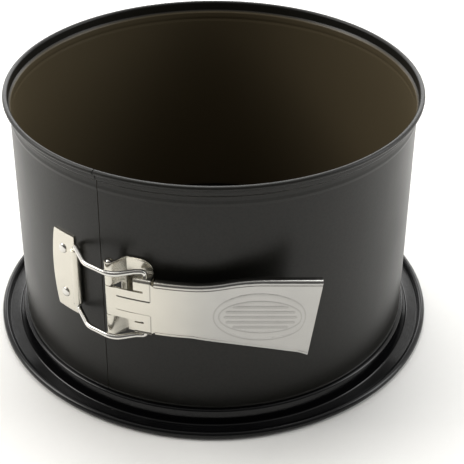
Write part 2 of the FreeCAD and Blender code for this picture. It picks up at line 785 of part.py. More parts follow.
def make_all():
    """Every sub-part of the pan, by the name of its file."""
    parts = {
        "base_plate": make_base_plate(),
        "ring_band_right": make_ring_band_right(),
        "ring_band_left": make_ring_band_left(),
        "keeper_plate": make_keeper_plate(),
        "hinge_plate": make_hinge_plate(),
        "hinge_pin": make_hinge_pin(),
        "lever": make_lever(),
        "bail_upper_arm": make_bail_arm("bail_upper_arm", 1),
        "bail_lower_arm": make_bail_arm("bail_lower_arm", -1),
        "bail_leg": make_bail_leg(),
    }
    for label, side in (("upper", 1), ("lower", -1)):
        for bracket, drop in (("keeper", cell("keeper_drop")), ("hinge", "0")):
            name = f"{bracket}_rivet_{label}"
            parts[name] = make_rivet(name, cell(f"{bracket}_rivet_azimuth"), side, drop)
    return parts


def check(parts):
    """Stops if any object failed or any sub-part is not one valid solid."""
    for item in doc.Objects:
        if "Invalid" in item.State or "Error" in item.State:
            raise RuntimeError(f"{item.Name} failed: {item.State}")
    for name, item in parts.items():
        shape = item.Shape
        if shape.isNull() or not shape.isValid():
            raise RuntimeError(f"{name} has no valid shape")
        if len(shape.Solids) != 1:
            raise RuntimeError(f"{name} has {len(shape.Solids)} solids")


def main():
    """Builds, checks and writes the pan."""
    parts = make_all()
    doc.recompute()
    check(parts)
    os.makedirs("parts", exist_ok=True)
    for name, item in parts.items():
        item.Label = name
        item.Shape.exportStep(f"parts/{name}.step")
        box = item.Shape.BoundBox
        print(
            f"{name:18s} volume {item.Shape.Volume:9.1f}  "
            f"x {box.XMin:7.1f} {box.XMax:7.1f}  y {box.YMin:7.1f} {box.YMax:7.1f}  "
            f"z {box.ZMin:6.1f} {box.ZMax:6.1f}"
        )


main()
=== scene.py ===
import json
import math

import bmesh
import bpy
from mathutils import Matrix, Vector


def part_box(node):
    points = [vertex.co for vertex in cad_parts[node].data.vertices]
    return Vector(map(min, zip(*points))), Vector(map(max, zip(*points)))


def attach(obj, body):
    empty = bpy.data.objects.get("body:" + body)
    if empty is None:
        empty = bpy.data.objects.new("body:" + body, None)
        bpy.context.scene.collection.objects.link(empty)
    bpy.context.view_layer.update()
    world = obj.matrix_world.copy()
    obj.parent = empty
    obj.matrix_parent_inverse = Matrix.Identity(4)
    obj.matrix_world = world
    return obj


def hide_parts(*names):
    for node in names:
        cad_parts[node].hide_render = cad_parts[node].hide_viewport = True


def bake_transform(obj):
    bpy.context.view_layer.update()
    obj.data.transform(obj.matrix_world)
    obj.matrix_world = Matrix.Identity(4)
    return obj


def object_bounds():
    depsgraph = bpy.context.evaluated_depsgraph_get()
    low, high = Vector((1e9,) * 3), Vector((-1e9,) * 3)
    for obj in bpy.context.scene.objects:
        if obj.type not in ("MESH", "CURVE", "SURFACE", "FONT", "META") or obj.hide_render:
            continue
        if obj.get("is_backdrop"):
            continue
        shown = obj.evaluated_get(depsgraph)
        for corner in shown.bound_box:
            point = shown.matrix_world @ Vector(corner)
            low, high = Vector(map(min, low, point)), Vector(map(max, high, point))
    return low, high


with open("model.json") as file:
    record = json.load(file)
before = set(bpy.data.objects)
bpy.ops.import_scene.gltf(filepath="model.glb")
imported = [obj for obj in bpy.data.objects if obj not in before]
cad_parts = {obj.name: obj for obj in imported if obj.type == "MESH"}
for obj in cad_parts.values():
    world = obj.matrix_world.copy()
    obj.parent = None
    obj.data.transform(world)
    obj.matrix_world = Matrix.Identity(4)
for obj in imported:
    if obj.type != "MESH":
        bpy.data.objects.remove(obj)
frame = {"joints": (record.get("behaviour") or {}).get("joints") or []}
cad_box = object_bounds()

bl_info = {
    "name": "Springform pan",
    "version": (1, 0, 0),
    "blender": (4, 5, 0),
    "location": "3D View > Sidebar > Springform",
    "description": "Builds the visible pieces of a springform pan round its packed frame",
    "category": "Object",
}

# Metres, +Z up, the pan's axis on Z, the floor at Z = 0.  Azimuths are in degrees, counted from
# -Y, the side that carries the lever, and grow towards +X.
MM = 0.001


# ---------------------------------------------------------------- places read from the frame


def middle(node):
    """The middle of a CAD node's box."""
    low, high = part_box(node)
    return (low + high) / 2


def azimuth_of(point):
    """The azimuth of a point, in degrees."""
    return math.degrees(math.atan2(point.x, -point.y))


def joint_point(name):
    """A point on a hinge's axis."""
    found = next(joint for joint in frame["joints"] if joint["name"] == name)
    return Vector(found["pos_m"])


RING_LOW, RING_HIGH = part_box("ring_band_right")
BASE_LOW, BASE_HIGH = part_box("base_plate")
LATCH_Z = middle("hinge_pin").z
PIN = middle("hinge_pin").xy
EYE = middle("bail_leg").xy
EAR = joint_point("bail_swing").xy
BACK = joint_point("ring_spread").xy
PIN_AZIMUTH = azimuth_of(PIN)
EYE_AZIMUTH = azimuth_of(EYE)
BACK_AZIMUTH = azimuth_of(BACK)
SEAM_AZIMUTH = BACK_AZIMUTH - 180
RIM_RADIUS = BACK.length
LIP_RADIUS = BASE_HIGH.x
HANDLE_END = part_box("lever")[1].x

# Radii of the wall's two faces.
WALL_INSIDE = 90.0 * MM
WALL_OUTSIDE = 90.6 * MM


# ---------------------------------------------------------------- colours


def linear(code):
    """The linear colour of an sRGB hex code."""
    parts = [int(code[i : i + 2], 16) / 255 for i in (1, 3, 5)]
    return tuple(p / 12.92 if p <= 0.04045 else ((p + 0.055) / 1.055) ** 2.4 for p in parts)


# ---------------------------------------------------------------- settings a user may change


def length(name, description, default):
    """A length in metres."""
    return bpy.props.FloatProperty(
        name=name, description=description, default=default, unit="LENGTH", precision=5
    )


def colour(name, description, code):
    """A colour given by its sRGB hex code."""
    return bpy.props.FloatVectorProperty(
        name=name, description=description, default=linear(code), subtype="COLOR", min=0, max=1
    )


class SheetSettings(bpy.types.PropertyGroup):
    """Sizes of the ring and the base plate."""

    gauge: length("Sheet", "Thickness of the ring and of the base plate", 0.6 * MM)
    rim_bead: length("Rim bead", "Diameter of the rolled rim", 2.3 * MM)
    rim_step: length("Rim step", "How far the wall steps out under the rim", 1.1 * MM)
    foot_bead: length("Foot bead", "Diameter of the rolled foot of the ring", 1.8 * MM)
    crease: length("Crease", "How far the crease below the rim stands out", 0.22 * MM)
    lip_bead: length("Lip bead", "Diameter of the rolled lip of the base plate", 3.2 * MM)
    shoulder: length("Shoulder", "Height of the shoulder that carries the ring", 7.0 * MM)
    lap_gap: length("Lap gap", "Air between the lapped ends of the ring", 0.3 * MM)


class LatchSettings(bpy.types.PropertyGroup):
    """Sizes of the latch."""

    gauge: length("Sheet", "Thickness of the lever and its brackets", 0.8 * MM)
    wire: length("Wire", "Diameter of the bail wire", 2.2 * MM)
    edge_round: length("Worn edges", "Rounding of the sheared edges", 0.14 * MM)
    rivet_head: length("Rivet head", "Diameter of a rivet's head", 4.4 * MM)
    oval: length("Thumb oval", "Half the length of the pressed oval", 18.2 * MM)
    relief: length("Relief", "Height of the lines pressed into the handle", 0.16 * MM)


class FinishSettings(bpy.types.PropertyGroup):
    """Colours of the finishes."""

    coating: colour("Coating", "Non-stick coating of the ring", "#1d1c19")
    coating_dark: colour("Coating, dark", "Darker specks of the coating", "#161613")
    # Painted reflection: the inner face drawn lighter and browner, as if lit by the cream batter,
    # over the coating's own warmth.
    coating_inside_reflection: colour("Coating, inside", "Coating browned by baking inside", "#554c3a")
    enamel: colour("Enamel", "Glossy enamel of the base plate", "#060607")
    plating: colour("Plating", "Bright zinc plating of the latch", "#cfcbc0")
    # Painted reflection: the far end of the handle is drawn cooler, as its surroundings reflect
    # there.
    plating_cool_reflection: colour("Plating, cool", "Plating towards the end of the handle", "#afaeab")
    wire: colour("Wire", "Drawn and plated wire", "#d2d0cb")
    floor: colour("Floor", "Pale floor", "#f4f3f0")


# ---------------------------------------------------------------- meshes


def add_piece(name, mesh):
    """An object with this mesh, linked to the scene."""
    piece = bpy.data.objects.new(name, mesh)
    bpy.context.scene.collection.objects.link(piece)
    return piece


def settle(piece):
    """Turns the piece's modifiers into a plain mesh with smooth faces and crisp folds."""
    bpy.context.view_layer.update()
    graph = bpy.context.evaluated_depsgraph_get()
    done = bpy.data.meshes.new_from_object(piece.evaluated_get(graph))
    old = piece.data
    piece.modifiers.clear()
    piece.data = done
    bpy.data.meshes.remove(old)
    crisp(done)


def crisp(mesh, angle=38):
    """Smooth shading that breaks at folds sharper than the angle."""
    mesh.shade_smooth()
    mesh.set_sharp_from_angle(angle=math.radians(angle))


def finish_piece(piece, body, slot, material, *nodes):
    """Gives a piece its finish, ties it to its body, and hides the CAD nodes it stands for."""
    piece.data.materials.clear()
    piece.data.materials.append(material)
    if nodes:
        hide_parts(*nodes)
    if body:
        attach(piece, body)


def round_corners(points, radii, steps=6):
    """The points of a line with each inner corner rounded by its radius."""
    line = [points[0]]
    for before, corner, after, radius in zip(points, points[1:], points[2:], radii):
        into, out = (before - corner).normalized(), (after - corner).normalized()
        half = into.angle(out) / 2
        setback = radius / math.tan(half)
        centre = corner + (into + out).normalized() * (radius / math.sin(half))
        start, end = corner + into * setback, corner + out * setback
        for i in range(steps + 1):
            share = i / steps
            spoke = (start - centre).lerp(end - centre, share).normalized()
            line.append(centre + spoke * radius)
    line.append(points[-1])
    return line


def curl(centre, radius, start, end, steps=20):
    """Points of an arc about a centre, between two angles in degrees."""
    angles = [math.radians(start + (end - start) * i / steps) for i in range(steps + 1)]
    return [centre + Vector((math.cos(a), math.sin(a))) * radius for a in angles]


def sheet_outline(line, gauge):
    """The closed outline of a sheet of this gauge laid along a line."""
    left, right = [], []
    for i, point in enumerate(line):
        before, after = line[max(i - 1, 0)], line[min(i + 1, len(line) - 1)]
        way = (after - before).normalized()
        side = Vector((-way.y, way.x)) * (gauge / 2)
        left.append(point + side)
        right.append(point - side)
    return left + right[::-1]


def turned(name, outline, start=0.0, end=360.0, pitch=1.0):
    """A closed outline (radius, height) turned about Z between two azimuths."""
    whole = abs(end - start) >= 360
    count = max(2, round(abs(end - start) / pitch))
    build = bmesh.new()
    loops = []
    for i in range(count if whole else count + 1):
        azimuth = math.radians(start + (end - start) * i / count)
        way = Vector((math.sin(azimuth), -math.cos(azimuth), 0))
        loops.append([build.verts.new(way * p.x + Vector((0, 0, p.y))) for p in outline])
    if whole:
        loops.append(loops[0])
    for first, second in zip(loops, loops[1:]):
        for j in range(len(outline)):
            k = (j + 1) % len(outline)
            build.faces.new((first[j], second[j], second[k], first[k]))
    if not whole:
        build.faces.new(loops[0])
        build.faces.new(loops[-1])
    bmesh.ops.remove_doubles(build, verts=build.verts, dist=0.001 * MM)
    bmesh.ops.dissolve_degenerate(build, edges=build.edges, dist=0.001 * MM)
    bmesh.ops.recalc_face_normals(build, faces=build.faces)
    mesh = bpy.data.meshes.new(name)
    build.to_mesh(mesh)
    build.free()
    crisp(mesh)
    return mesh


def join_mesh(piece, mesh):
    """Adds another mesh to a piece."""
    build = bmesh.new()
    build.from_mesh(piece.data)
    build.from_mesh(mesh)
    build.to_mesh(piece.data)
    build.free()
    bpy.data.meshes.remove(mesh)
    crisp(piece.data)


def spaced(start, end, pitch):
    """Evenly spaced numbers from start to end, about a pitch apart."""
    count = max(1, round(abs(end - start) / pitch))
    return [start + (end - start) * i / count for i in range(count + 1)]


def merged(*lists):
    """Sorted numbers of several lists without near doubles."""
    result = []
    for value in sorted(number for numbers in lists for number in numbers):
        if not result or value - result[-1] > 0.01 * MM:
            result.append(value)
    return result


def smooth(share):
    """Eases from 0 to 1 as the share goes from 0 to 1."""
    share = min(1, max(0, share))
    return share * share * (3 - 2 * share)


def ridge(distance, width):
    """A rounded ridge, 1 high on its line and gone a width away on each side."""
    return smooth(1 - abs(distance) / width)


# ---------------------------------------------------------------- bent sheet seen from above


def heading(azimuth):
    """The angle counted from +X of the outward direction at an azimuth, in radians."""
    return math.radians(azimuth - 90)


class Strip:
    """The middle line of a bent sheet, seen from above, measured along the sheet."""

    def __init__(self):
        self.runs = []
        self.length = 0.0

    def line(self, start, end):
        """Adds a straight run."""
        span = (end - start).length
        self.runs.append(("line", self.length, span, (start, (end - start).normalized())))
        self.length += span

    def arc(self, centre, radius, start, end):
        """Adds an arc between two angles in radians."""
        span = abs(end - start) * radius
        turn = 1 if end > start else -1
        self.runs.append(("arc", self.length, span, (centre, radius, start, turn)))
        self.length += span

    def at(self, along):
        """The point at a distance along the line, and the direction to its right."""
        kind, begin, span, data = self.runs[0]
        for run in self.runs:
            if along >= run[1] - 1e-9:
                kind, begin, span, data = run
        step = along - begin
        if kind == "line":
            start, way = data
            return start + way * step, Vector((way.y, -way.x))
        centre, radius, start, turn = data
        angle = start + turn * step / radius
        spoke = Vector((math.cos(angle), math.sin(angle)))
        return centre + spoke * radius, spoke * turn

    def joints(self):
        """Where the runs meet."""
        return [run[1] for run in self.runs] + [self.length]


def sheet_grid(name, columns, rows, place, keep, crease_shade=None):
    """The middle surface of a sheet: a grid with the cells that keep() accepts, and how much
    painted shade darkens the plating at each point along its pressed lines and creases."""
    build = bmesh.new()
    # The pressed layer holds painted shade: how much the pressed lines and creases are darkened.
    pressed = build.verts.layers.float.new("pressed")
    made = {}

    def corner(i, j):
        if (i, j) not in made:
            made[i, j] = build.verts.new(place(columns[i], rows[j]))
            if crease_shade:
                made[i, j][pressed] = crease_shade(columns[i], rows[j])
        return made[i, j]

    for i in range(len(columns) - 1):
        for j in range(len(rows) - 1):
            if keep((columns[i] + columns[i + 1]) / 2, (rows[j] + rows[j + 1]) / 2):
                cell = (corner(i, j), corner(i + 1, j), corner(i + 1, j + 1), corner(i, j + 1))
                build.faces.new(cell)
    bmesh.ops.recalc_face_normals(build, faces=build.faces)
    mesh = bpy.data.meshes.new(name)
    build.to_mesh(mesh)
    build.free()
    return add_piece(name, mesh)


def thicken(piece, gauge, edge_round):
    """Gives a middle surface its gauge and rounds its sheared edges."""
    solid = piece.modifiers.new("Gauge", "SOLIDIFY")
    solid.thickness = gauge
    solid.offset = 0
    solid.use_even_offset = True
    bevel = piece.modifiers.new("Sheared edges", "BEVEL")
    bevel.width = edge_round
    bevel.segments = 2
    bevel.limit_method = "ANGLE"
    bevel.angle_limit = math.radians(50)
    settle(piece)


# ---------------------------------------------------------------- node trees


def add_node(tree, kind, inputs=None, **settings):
    """Adds a node, makes its settings, and sets or links its inputs."""
    made = tree.nodes.new(kind)
    for key, value in settings.items():
        setattr(made, key, value)
    for key, value in (inputs or {}).items():
        if isinstance(value, bpy.types.NodeSocket):
            tree.links.new(value, made.inputs[key])
        else:
            made.inputs[key].default_value = value
    return made


def new_finish(name):
    """An empty material and its Object coordinates in millimetres."""
    material = bpy.data.materials.new(name)
    material.use_nodes = True
    tree = material.node_tree
    tree.nodes.clear()
    where = add_node(tree, "ShaderNodeTexCoord").outputs["Object"]
    scale = add_node(
        tree, "ShaderNodeVectorMath", {0: where, 1: (1 / MM,) * 3}, operation="MULTIPLY"
    )
    return material, tree, scale.outputs["Vector"]


def noise(tree, place, size, detail):
    """Noise with features about this many millimetres across."""
    inputs = {"Vector": place, "Scale": 1 / size, "Detail": detail}
    return add_node(tree, "ShaderNodeTexNoise", inputs).outputs["Fac"]


def remap(tree, value, start, end, low=0.0, high=1.0, interpolation="LINEAR"):
    """Takes a value from the range start to end into the range low to high."""
    limits = {"From Min": start, "From Max": end, "To Min": low, "To Max": high}
    inputs = {"Value": value, **limits}
    made = add_node(tree, "ShaderNodeMapRange", inputs, interpolation_type=interpolation)
    return made.outputs["Result"]


def mixed(tree, share, first, second):
    """Two colours mixed by a share."""
    inputs = {"Factor": share, "A": first, "B": second}
    return add_node(tree, "ShaderNodeMix", inputs, data_type="RGBA").outputs["Result"]


def shaded(tree, colour, value, darkest, lightest):
    """A colour made darker or lighter by a value from 0 to 1."""
    inputs = {0: colour, "Scale": remap(tree, value, 0.0, 1.0, darkest, lightest)}
    return add_node(tree, "ShaderNodeVectorMath", inputs, operation="SCALE").outputs["Vector"]


def bumped(tree, height, distance, strength):
    """A normal tilted by a relief of up to this distance."""
    inputs = {"Height": height, "Distance": distance, "Strength": strength}
    return add_node(tree, "ShaderNodeBump", inputs).outputs["Normal"]


def close_finish(material, inputs):
    """Gives the material a shader with these inputs."""
    tree = material.node_tree
    shader = add_node(tree, "ShaderNodeBsdfPrincipled", inputs)
    add_node(tree, "ShaderNodeOutputMaterial", {"Surface": shader.outputs["BSDF"]})
    return material


# Most of a noise's values lie between these two.
NOISE_LOW, NOISE_HIGH = 0.3, 0.7


def nonstick_coating(look):
    """Cured fluoropolymer non-stick coating, sprayed on steel: a satin, almost black film with
    fine specks, a faint orange peel, and soft wide highlights."""
    material, tree, place = new_finish("nonstick_coating_sprayed")
    # Specks are about 0.1 mm across; they are drawn 0.9 mm across so that they show.
    specks = remap(tree, noise(tree, place, 0.9, 3.0), 0.42, 0.62)
    tint = mixed(tree, specks, (*look.coating, 1), (*look.coating_dark, 1))
    # Inside the wall, the film is drawn lighter and browner: painted reflection of the cream
    # batter, over the coating's own warmth. The mark moves with the sheet.
    inside = add_node(tree, "ShaderNodeAttribute", attribute_name="inside").outputs["Fac"]
    # The film's thickness drifts over some 40 mm, which moves its gloss a little.
    drift = noise(tree, place, 40, 2.0)
    # Orange peel is 1 to 2 mm from crest to crest and some hundredths of a millimetre high.
    peel = noise(tree, place, 1.6, 1.0)
    inputs = {
        "Base Color": mixed(tree, inside, tint, (*look.coating_inside_reflection, 1)),
        "Roughness": remap(tree, drift, NOISE_LOW, NOISE_HIGH, low=0.31, high=0.37),
        "Normal": bumped(tree, peel, 0.02 * MM, 0.5),
        "IOR": 1.35,
    }
    return close_finish(material, inputs)


def gloss_enamel(look):
    """Vitreous enamel, dipped and fired: a deep, near-black glaze with sharp highlights that
    waver where the glaze pooled."""
    material, tree, place = new_finish("gloss_enamel_fired")
    pooled = noise(tree, place, 7, 2.0)
    # Dust in the glaze is far finer; it is drawn 1.2 mm across so that it shows.
    dust = noise(tree, place, 1.2, 2.0)
    dusty = [channel * 1.6 for channel in look.enamel]
    inputs = {
        "Base Color": mixed(tree, dust, (*look.enamel, 1), (*dusty, 1)),
        "Roughness": remap(tree, dust, 0.35, NOISE_HIGH, low=0.13, high=0.19),
        "Normal": bumped(tree, pooled, 0.03 * MM, 0.4),
        "IOR": 1.36,
    }
    return close_finish(material, inputs)


def bright_plating(look):
    """Zinc plated over rolled steel strip: bright and slightly warm, with the strip's rolling
    lines under the plating, which draw highlights out along the lever."""
    material, tree, place = new_finish("zinc_plating_on_rolled_strip")
    # Rolling lines run level. They are 0.1 mm apart, and drawn 0.5 mm apart so that they show.
    grain = {"Vector": place, "Scale": (1 / 25, 1 / 12, 1 / 0.5)}
    stretched = add_node(tree, "ShaderNodeMapping", grain).outputs["Vector"]
    lines = noise(tree, stretched, 1.0, 3.0)
    # Painted reflection: the plating is drawn warmer at the tongue than at the far end of the
    # handle, as its surroundings reflect in it.
    across = add_node(tree, "ShaderNodeSeparateXYZ", {"Vector": place}).outputs["X"]
    warm_end, cool_end = -34.0, 4.0
    along = remap(tree, across, warm_end, cool_end, interpolation="SMOOTHSTEP")
    tint = mixed(tree, along, (*look.plating, 1), (*look.plating_cool_reflection, 1))
    clouded = shaded(tree, tint, noise(tree, place, 9, 3.0), 0.93, 1.05)
    # Along pressed lines the plating is darkened: painted shade in the creases and on the relief's
    # flanks.
    pressed = add_node(tree, "ShaderNodeAttribute", attribute_name="pressed").outputs["Fac"]
    crease_shade_colour = [channel * 0.22 for channel in look.plating_cool_reflection]
    inputs = {
        "Base Color": mixed(tree, pressed, clouded, (*crease_shade_colour, 1)),
        "Metallic": 1.0,
        "Roughness": remap(tree, lines, NOISE_LOW, NOISE_HIGH, low=0.2, high=0.26),
        "Normal": bumped(tree, lines, 0.002 * MM, 0.3),
    }
    return close_finish(material, inputs)


def drawn_wire(look):
    """Spring-steel wire, drawn and plated: bright, with die lines that break up the highlight."""
    material, tree, place = new_finish("plated_wire_drawn")
    # Die lines are far finer; they are drawn 0.5 mm apart so that they show.
    lines = noise(tree, place, 0.5, 2.0)
    inputs = {
        "Base Color": shaded(tree, tuple(look.wire), lines, 0.96, 1.04),
        "Metallic": 1.0,
        "Roughness": remap(tree, lines, 0.0, 1.0, low=0.12, high=0.18),
    }
    return close_finish(material, inputs)


def pale_floor(look):
    """Matt painted board: an even, pale surface with the faintest grain."""
    material, tree, place = new_finish("matt_board_painted")
    grain = noise(tree, place, 3, 2.0)
    inputs = {
        "Base Color": shaded(tree, tuple(look.floor), grain, 0.98, 1.0),
        "Roughness": 0.6,
    }
    return close_finish(material, inputs)


def finish_named(name, maker):
    """The material with this name, made once."""
    found = bpy.data.materials.get(name)
    return found or maker(bpy.context.scene.springform_finish)


# ---------------------------------------------------------------- base plate and ring


def base_line(sizes):
    """The middle of the base plate's sheet, from the axis to the tip of the rolled lip."""
    half = sizes.gauge / 2
    # Radii of the plateau's edge, the shoulder's edge and the foot of the skirt below it.
    plateau, shoulder, skirt = 88.5 * MM - half, 92.0 * MM, 94.0 * MM
    lip_lift = 0.4 * MM
    roll = sizes.lip_bead / 2 - half
    lip_height = BASE_LOW.z + lip_lift + sizes.lip_bead / 2
    lip = Vector((LIP_RADIUS - sizes.lip_bead / 2, lip_height))
    upright = lip.x - roll
    top = BASE_HIGH.z - half
    corners = [
        Vector((0, top)),
        Vector((plateau, top)),
        Vector((plateau, sizes.shoulder - half)),
        Vector((shoulder, sizes.shoulder - half)),
        Vector((skirt, half)),
        Vector((upright, half)),
        Vector((upright, lip.y)),
    ]
    radii = [1.2 * MM, 0.7 * MM, 0.8 * MM, 1.2 * MM, 0.9 * MM]
    return round_corners(corners, radii)[:-1] + curl(lip, roll, 180, -100)


def ring_line(sizes):
    """The middle of the ring's sheet, from the tip of the foot curl to the tip of the rim curl."""
    half = sizes.gauge / 2
    wall = WALL_INSIDE + half
    foot_roll = sizes.foot_bead / 2 - half
    foot = Vector((wall + foot_roll, RING_LOW.z + sizes.foot_bead / 2))
    rim_roll = sizes.rim_bead / 2 - half
    rim = Vector((RIM_RADIUS - sizes.rim_bead / 2, RING_HIGH.z - sizes.rim_bead / 2))
    band = rim.x - rim_roll
    crease, crease_half = 109.0 * MM, 1.3 * MM
    step_foot, step_top = 112.3 * MM, 113.5 * MM
    corners = [
        Vector((wall, foot.y)),
        Vector((wall, crease - crease_half)),
        Vector((wall + sizes.crease, crease)),
        Vector((wall, crease + crease_half)),
        Vector((wall, step_foot)),
        Vector((band, step_top)),
        Vector((band, rim.y)),
    ]
    radii = [1.5 * MM, 1.0 * MM, 1.5 * MM, 0.6 * MM, 0.6 * MM]
    wall_line = round_corners(corners, radii)
    return curl(foot, foot_roll, -100, -180)[:-1] + wall_line[:-1] + curl(rim, rim_roll, 180, -100)


class SPRINGFORM_OT_base_plate(bpy.types.Operator):
    """Presses the base plate: raised floor, shoulder, drip channel and rolled lip"""

    bl_idname = "springform.base_plate"
    bl_label = "Base plate"

    def execute(self, context):
        sizes = context.scene.springform_sheet
        mesh = turned("base_plate_pressed", sheet_outline(base_line(sizes), sizes.gauge))
        piece = add_piece("base_plate_pressed", mesh)
        enamel = finish_named("gloss_enamel_fired", gloss_enamel)
        finish_piece(piece, "base", "gloss_enamel", enamel, "base_plate")
        return {"FINISHED"}


def mark_inside(mesh):
    """Marks the points on the inner side of the wall, while the ring is still closed; the
    coating's painted reflection goes there.
    """
    outer, fade = 90.4 * MM, 0.2 * MM
    marks = mesh.attributes.new("inside", "FLOAT", "POINT")
    for vertex, mark in zip(mesh.vertices, marks.data):
        mark.value = min(1, max(0, (outer - vertex.co.xy.length) / fade))


class SPRINGFORM_OT_ring(bpy.types.Operator):
    """Rolls the ring in two lengths, with its rim, foot and lapped end"""

    bl_idname = "springform.ring"
    bl_label = "Ring"

    # In degrees: how far before the back line the left length starts, the lap, half the gap
    # at the seam, and the tilt of the slab in which the sheet bends.
    flex = 14.0
    lap = 6.0
    half_gap = 0.1
    slab_tilt = 30.0
    reach = 18 * MM

    def lapped_end(self, sizes):
        """The inner end of the ring, stepped inwards to lie under the outer end."""
        wall = WALL_INSIDE + sizes.gauge / 2
        under = wall - sizes.gauge - sizes.lap_gap
        # It stops short of the foot curl and of the crease under the rim.
        low, high = 10.5 * MM, 109.0 * MM
        start = SEAM_AZIMUTH - 3.0
        step_from, step_to = SEAM_AZIMUTH - 1.6, SEAM_AZIMUTH - 0.3
        columns = spaced(start, SEAM_AZIMUTH + self.lap, 0.3)

        def place(azimuth, height):
            share = smooth((azimuth - step_from) / (step_to - step_from))
            radius = wall + (under - wall) * share
            angle = math.radians(azimuth)
            return Vector((radius * math.sin(angle), -radius * math.cos(angle), height))

        piece = sheet_grid("lapped_end", columns, [low, high], place, lambda a, z: True)
        thicken(piece, sizes.gauge - 0.02 * MM, 0.1 * MM)
        mesh = piece.data
        bpy.data.objects.remove(piece)
        return mesh

    def execute(self, context):
        sizes = context.scene.springform_sheet
        outline = sheet_outline(ring_line(sizes), sizes.gauge)
        coating = finish_named("nonstick_coating_sprayed", nonstick_coating)
        back = BACK_AZIMUTH - self.flex
        right = turned("ring_right_length", outline, SEAM_AZIMUTH + self.half_gap, back)
        piece = add_piece("ring_right_length", right)
        mark_inside(piece.data)
        finish_piece(piece, "ring", "nonstick_coating", coating, "ring_band_right")
        seam = SEAM_AZIMUTH + 360 - self.half_gap
        left = turned("ring_left_length", outline, back, seam)
        piece = add_piece("ring_left_length", left)
        join_mesh(piece, self.lapped_end(sizes))
        mark_inside(piece.data)
        finish_piece(piece, None, "nonstick_coating", coating, "ring_band_left")
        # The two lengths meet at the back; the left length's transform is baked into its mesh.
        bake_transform(piece)
        return {"FINISHED"}


# ---------------------------------------------------------------- latch brackets


def plate_radius(sizes):
    """The middle of a bracket's sheet where it lies on the wall."""
    return WALL_OUTSIDE + sizes.gauge / 2


def knuckle_radius(sizes):
    """The middle of a sheet rolled round the wire or the pin, with a little air."""
    air = 0.05 * MM
    return sizes.wire / 2 + air + sizes.gauge / 2


class SPRINGFORM_OT_keeper_plate(bpy.types.Operator):
    """Bends the keeper plate, whose edge is rolled into the eye that holds the bail"""

    bl_idname = "springform.keeper_plate"
    bl_label = "Keeper plate"

    # Degrees of wall that the plate covers, and how far its edge is rolled.
    span = 8.6
    turn = 285.0
    half_height = 19.3 * MM
    eye_half = 13.4 * MM
    bulge = 2.4 * MM
    cut_back = 1.6 * MM
    # How dark the painted shade is along the line where the roll's tip rests on the plate.
    roll_tip_shade = 0.45

    def execute(self, context):
        sizes = context.scene.springform_latch
        radius = plate_radius(sizes)
        roll = EYE.length - radius
        strip = Strip()
        strip.arc(
            Vector((0, 0)), radius, heading(EYE_AZIMUTH - self.span), heading(EYE_AZIMUTH)
        )
        edge = strip.length
        inward = heading(EYE_AZIMUTH) + math.pi
        strip.arc(EYE, roll, inward, inward - math.radians(self.turn))
        cut = edge - self.cut_back
        columns = merged(spaced(0, cut, 0.5 * MM), spaced(cut, edge, 0.4 * MM))
        columns = merged(columns, spaced(edge, strip.length, 0.3 * MM))
        plate = middle("keeper_plate").z
        eye_low, eye_high = (LATCH_Z + side * self.eye_half - plate for side in (-1, 1))
        rows = merged(
            spaced(-self.half_height, eye_low, 0.8 * MM),
            spaced(eye_low, eye_high, 1.2 * MM),
            spaced(eye_high, self.half_height, 0.8 * MM),
        )

        def place(along, height):
            # The free edge is an arc, so the plate is widest halfway up.
            round_edge = self.bulge * (1 - (height / self.half_height) ** 2)
            point, _ = strip.at(along - round_edge * smooth(1 - along / cut))
            return Vector((point.x, point.y, plate + height))

        def keep(along, height):
            return along < cut or eye_low < height < eye_high

        def crease_shade(along, height):
            # The tip of the roll rests on the plate; painted shade darkens a line there.
            from_middle = abs(height - (eye_low + eye_high) / 2)
            level = smooth((self.eye_half - from_middle) / (1 * MM))
            return self.roll_tip_shade * level * ridge(along - edge + 0.5 * MM, 0.5 * MM)

        piece = sheet_grid("keeper_plate_bent", columns, rows, place, keep, crease_shade)
        thicken(piece, sizes.gauge, sizes.edge_round)
        plating = finish_named("zinc_plating_on_rolled_strip", bright_plating)
        finish_piece(piece, "ring_left", "bright_zinc", plating, "keeper_plate")
        return {"FINISHED"}


